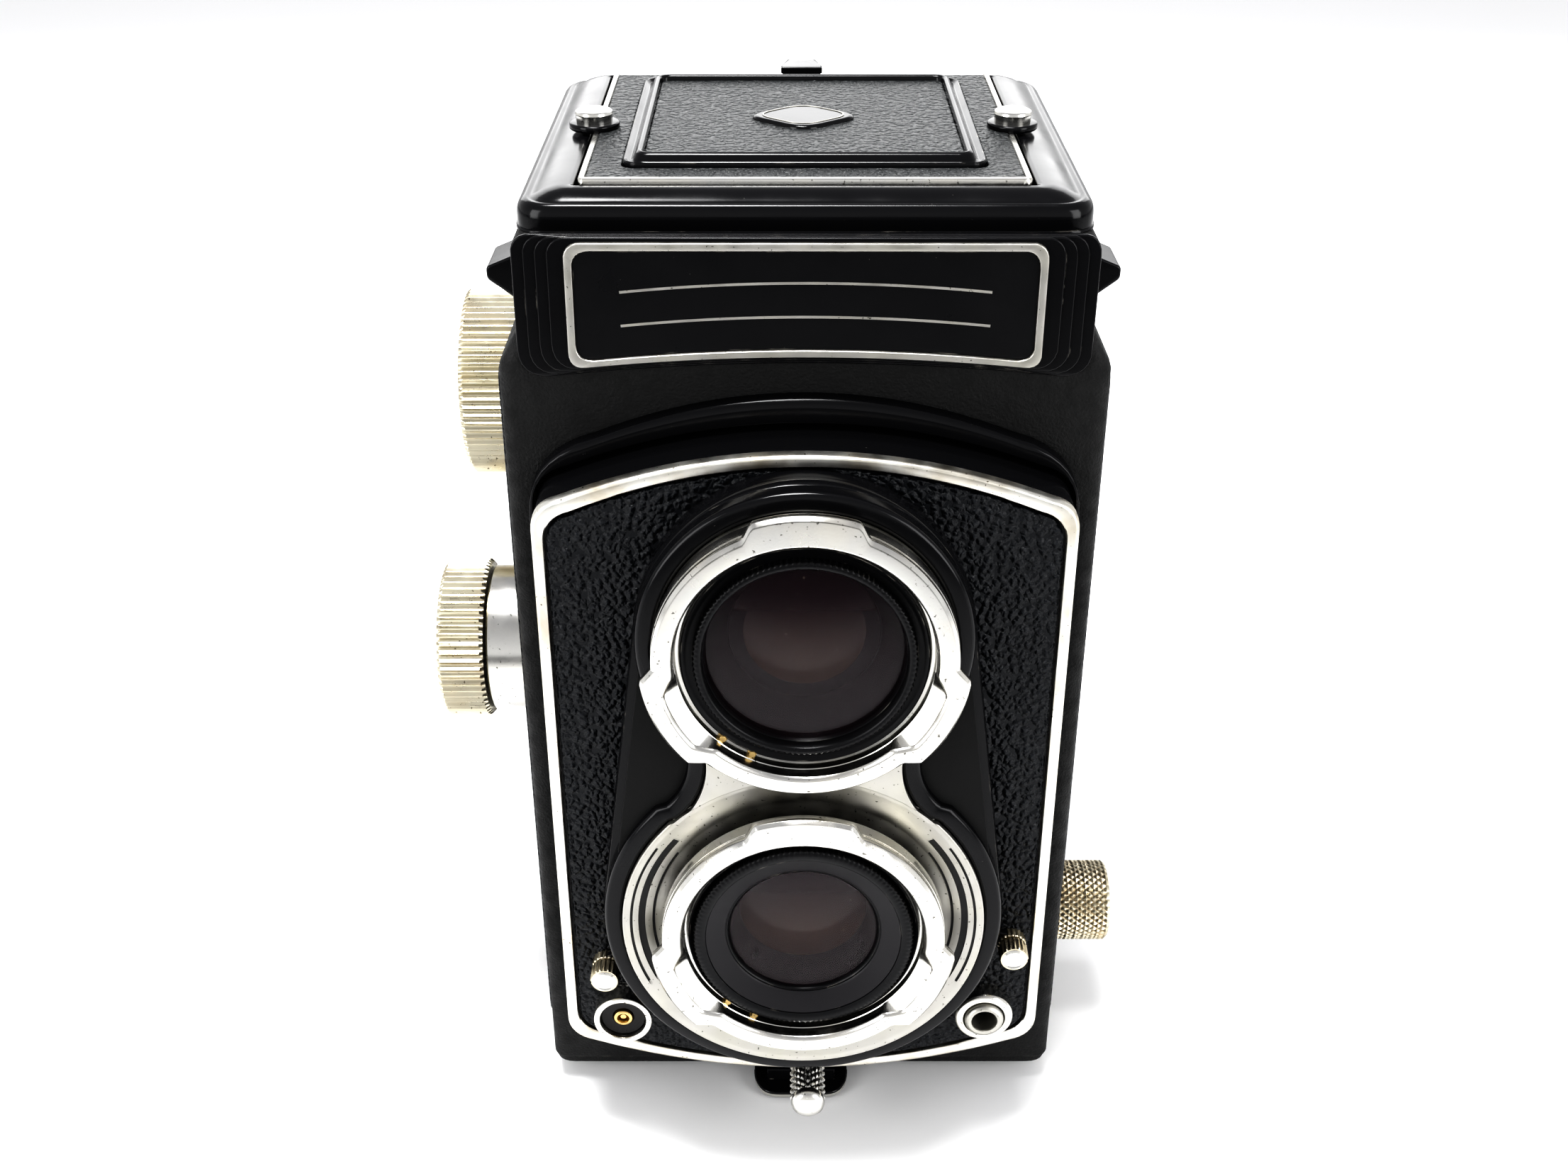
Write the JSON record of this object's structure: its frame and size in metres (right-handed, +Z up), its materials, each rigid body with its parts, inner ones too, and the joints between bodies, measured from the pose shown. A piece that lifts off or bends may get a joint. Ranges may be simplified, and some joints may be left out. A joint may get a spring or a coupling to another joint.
{
  "type": "twin lens reflex camera",
  "caption": "Box-shaped roll film camera with a viewing lens above a taking lens, a folding finder hood, side knobs and a hinged L-shaped back.",
  "frame": {"origin": "bottom centre of the whole camera's box, on the plane that its feet stand on", "axes": "+Z up, -Y out of the lenses towards the subject, +X to the right seen from in front of the lenses"},
  "size_m": [0.097, 0.0978, 0.1367],
  "materials": {
    "crinkle_black": "matt crinkle enamel",
    "gloss_black": "gloss enamel, worn to brass on the edges",
    "leatherette": "pebbled leatherette",
    "nickel": "bright nickel",
    "satin_nickel": "satin",
    "worn_knob": "knurled, nickel worn to brass",
    "dark_metal": "satin black anodised",
    "lens_glass": "clear, coated",
    "mirror_glass": "silvered",
    "ground_glass": "ground"
  },
  "bodies": {
    "root": {"body_casting": "crinkle_black", "front_bezel": "gloss_black", "light_trap": "dark_metal", "left_side_leather": "leatherette", "right_side_leather": "leatherette", "name_plate_block": "gloss_black", "name_plate": "nickel", "mirror": "mirror_glass", "mirror_plate": "dark_metal", "focusing_screen": "ground_glass", "film_gate": "dark_metal", "tripod_bush": "nickel", "strap_lug_left": "gloss_black", "strap_lug_right": "gloss_black", "hood_frame": "gloss_black", "hinge_bracket_left": "gloss_black", "hinge_bracket_right": "gloss_black"},
    "lens_standard": {"lens_board": "gloss_black", "board_leather": "leatherette", "viewing_lens_barrel": "dark_metal", "viewing_bayonet_ring": "nickel", "viewing_retaining_ring": "nickel", "viewing_front_element": "lens_glass", "taking_lens_barrel": "dark_metal", "taking_bayonet_ring": "nickel", "taking_name_ring": "dark_metal", "taking_front_element": "lens_glass", "shutter_blades": "dark_metal", "aperture_iris": "dark_metal", "taking_rear_element": "lens_glass", "shutter_housing": "gloss_black", "shutter_face_plate": "satin_nickel", "sync_socket": "nickel", "cable_release_socket": "nickel"},
    "aperture_lever_body": {"aperture_lever": "nickel"},
    "speed_lever_body": {"speed_lever": "nickel"},
    "cocking_lever_body": {"cocking_lever": "nickel"},
    "focus_drive": {"focus_knob": "worn_knob", "focus_collar_shaft": "nickel"},
    "wind_drive": {"wind_knob": "worn_knob", "wind_collar_shaft": "nickel", "take_up_spool": "gloss_black"},
    "spool_pin": {"spool_knob": "nickel"},
    "roller_lower": {"film_roller_lower": "nickel"},
    "roller_upper": {"film_roller_upper": "nickel"},
    "door": {"back_door": "crinkle_black", "door_leather": "leatherette", "pressure_plate": "dark_metal"},
    "latch": {"door_latch": "gloss_black"},
    "lid": {"hood_lid": "gloss_black", "lid_leather": "leatherette", "finder_flap_frame": "gloss_black", "finder_flap_leather": "leatherette", "hood_stud_left": "nickel", "hood_stud_right": "nickel", "magnifier_frame": "dark_metal", "magnifier_lens": "lens_glass"},
    "hood_side_left_body": {"hood_side_left": "crinkle_black"},
    "hood_side_right_body": {"hood_side_right": "crinkle_black"},
    "hood_rear_body": {"hood_rear": "crinkle_black"}
  },
  "joints": [
    {"name": "lens_slide", "type": "slide", "parent": "root", "child": "lens_standard", "axis": [0, -1, 0], "range_m": [0, 0.0061]},
    {"name": "focus_knob_turn", "type": "hinge", "parent": "root", "child": "focus_drive", "pos_m": [0.00185, -0.0069, 0.064], "axis": [1, 0, 0], "range_deg": [0, 270]},
    {"name": "wind_turn", "type": "hinge", "parent": "root", "child": "wind_drive", "pos_m": [0.00185, 0.0291, 0.0887], "axis": [1, 0, 0], "continuous": true},
    {"name": "spool_knob_pull", "type": "slide", "parent": "root", "child": "spool_pin", "axis": [1, 0, 0], "range_m": [0, 0.0055], "stiffness_N_per_m": 300},
    {"name": "roller_lower_turn", "type": "hinge", "parent": "root", "child": "roller_lower", "pos_m": [0.00185, 0.0347, 0.0097], "axis": [1, 0, 0], "continuous": true},
    {"name": "roller_upper_turn", "type": "hinge", "parent": "root", "child": "roller_upper", "pos_m": [0.00185, 0.0347, 0.0755], "axis": [1, 0, 0], "continuous": true},
    {"name": "door_swing", "type": "hinge", "parent": "root", "child": "door", "pos_m": [0.00185, 0.0463, 0.121], "axis": [1, 0, 0], "range_deg": [0, 100]},
    {"name": "latch_swing", "type": "hinge", "parent": "door", "child": "latch", "pos_m": [0.00185, -0.0219, 0.00095], "axis": [1, 0, 0], "range_deg": [0, 60]},
    {"name": "hood_lid_open", "type": "hinge", "parent": "root", "child": "lid", "pos_m": [0.00185, -0.0197, 0.134], "axis": [1, 0, 0], "range_deg": [0, 90]},
    {"name": "hood_left_open", "type": "hinge", "parent": "root", "child": "hood_side_left_body", "pos_m": [-0.02445, 0.0051, 0.1264], "axis": [0, -1, 0], "range_deg": [0, 90]},
    {"name": "hood_right_open", "type": "hinge", "parent": "root", "child": "hood_side_right_body", "pos_m": [0.02815, 0.0051, 0.1264], "axis": [0, 1, 0], "range_deg": [0, 90]},
    {"name": "hood_rear_open", "type": "hinge", "parent": "root", "child": "hood_rear_body", "pos_m": [0.00185, 0.031, 0.1244], "axis": [-1, 0, 0], "range_deg": [0, 90]},
    {"name": "aperture_lever_turn", "type": "hinge", "parent": "lens_standard", "child": "aperture_lever_body", "pos_m": [0.00185, -0.0389, 0.0425], "axis": [0, 1, 0], "range_deg": [0, 40]},
    {"name": "speed_lever_turn", "type": "hinge", "parent": "lens_standard", "child": "speed_lever_body", "pos_m": [0.00185, -0.0389, 0.0425], "axis": [0, -1, 0], "range_deg": [0, 32]},
    {"name": "cocking_lever_turn", "type": "hinge", "parent": "lens_standard", "child": "cocking_lever_body", "pos_m": [0.00185, -0.0389, 0.0425], "axis": [0, 1, 0], "range_deg": [-25, 25], "stiffness_Nm_per_rad": 0.02}
  ],
  "couplings": [
    {"joint": "focus_knob_turn", "follows": "lens_slide", "rad_per_m": 770},
    {"joint": "hood_left_open", "follows": "hood_lid_open", "ratio": 1},
    {"joint": "hood_right_open", "follows": "hood_lid_open", "ratio": 1},
    {"joint": "hood_rear_open", "follows": "hood_lid_open", "ratio": 1}
  ]
}
